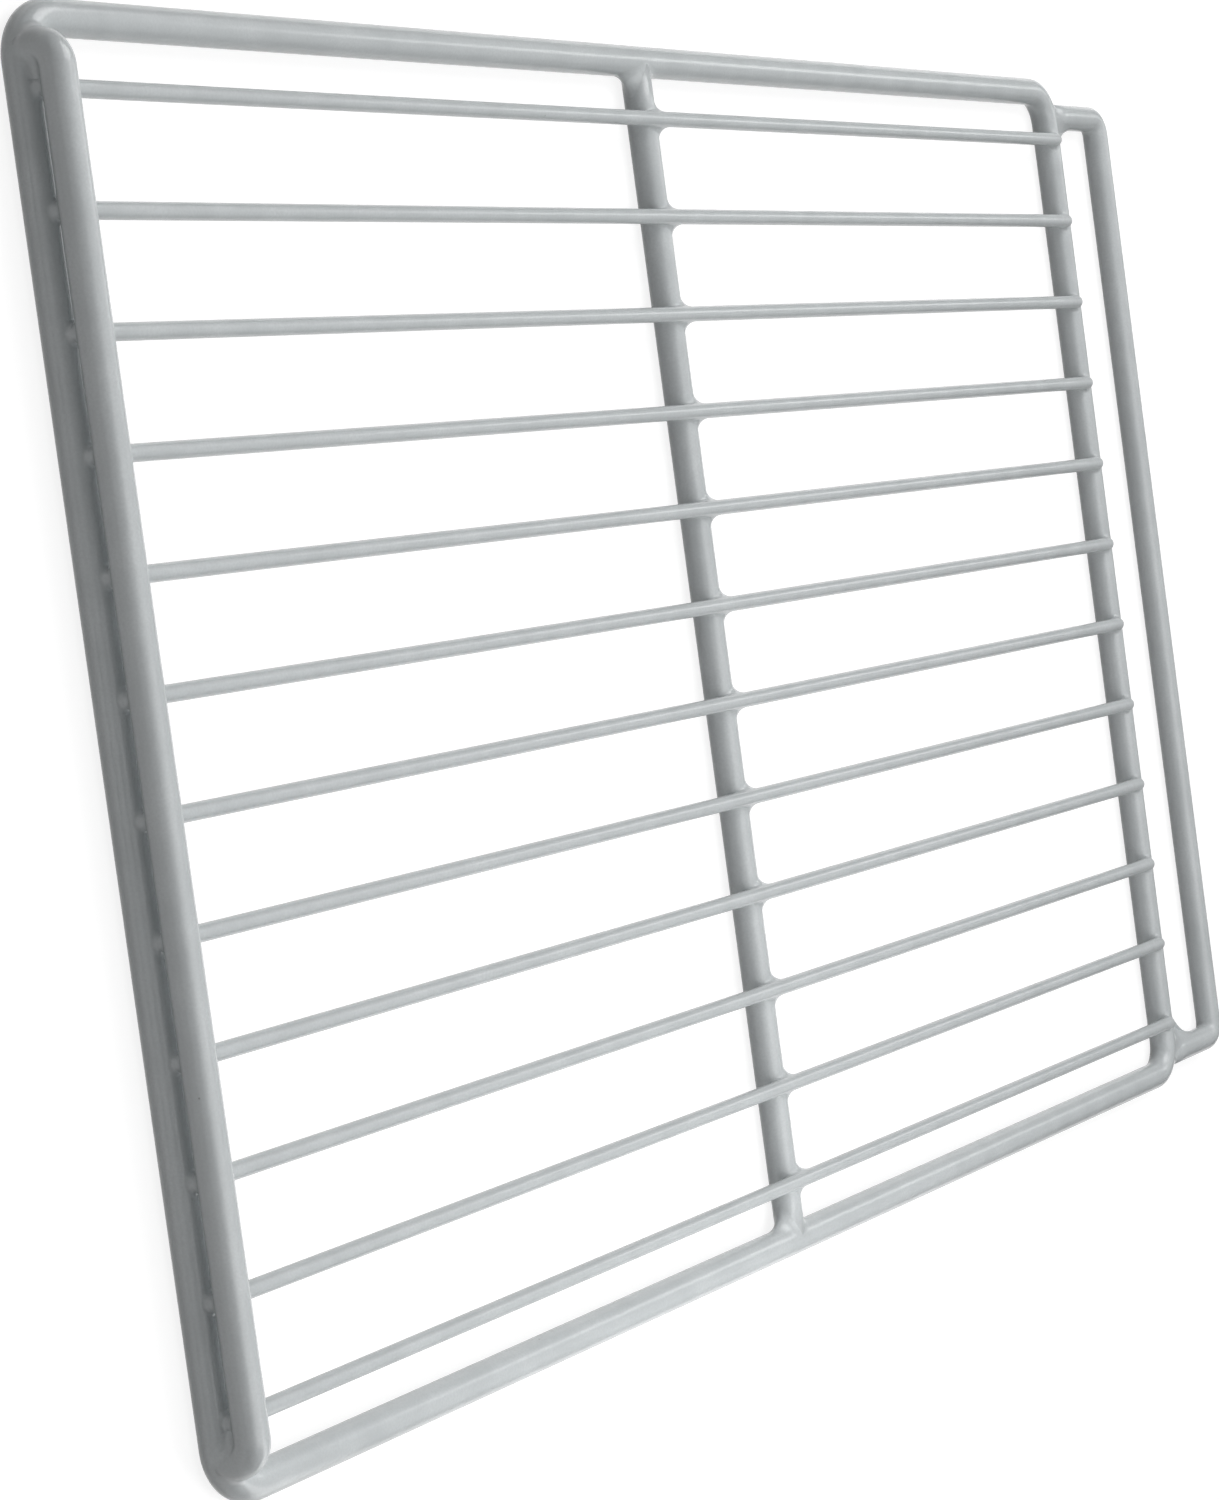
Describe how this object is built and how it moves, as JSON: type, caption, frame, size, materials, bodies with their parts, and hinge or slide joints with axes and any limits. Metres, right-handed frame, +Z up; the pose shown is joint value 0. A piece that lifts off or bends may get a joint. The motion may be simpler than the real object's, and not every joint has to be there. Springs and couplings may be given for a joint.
{
  "type": "wire rack",
  "caption": "Flat rectangular refrigerator shelf of coated steel rod: bent frame, centre bar, thin parallel load wires, a raised front bar and a rear stop loop.",
  "frame": {"origin": "centre of the bounding box on the plane that the shelf lies on", "axes": "+X across the shelf, +Y from the raised front bar to the rear loop, +Z up through the load wires"},
  "size_m": [0.325, 0.53, 0.0176],
  "materials": {
    "white_coat": "smooth semi-gloss white plastic coat"
  },
  "bodies": {
    "root": {"perimeter_frame": "white_coat", "centre_bar": "white_coat", "front_bar": "white_coat", "rear_loop": "white_coat", "load_wire_01": "white_coat", "load_wire_02": "white_coat", "load_wire_03": "white_coat", "load_wire_04": "white_coat", "load_wire_05": "white_coat", "load_wire_06": "white_coat", "load_wire_07": "white_coat", "load_wire_08": "white_coat", "load_wire_09": "white_coat", "load_wire_10": "white_coat", "load_wire_11": "white_coat", "load_wire_12": "white_coat"}
  },
  "joints": []
}
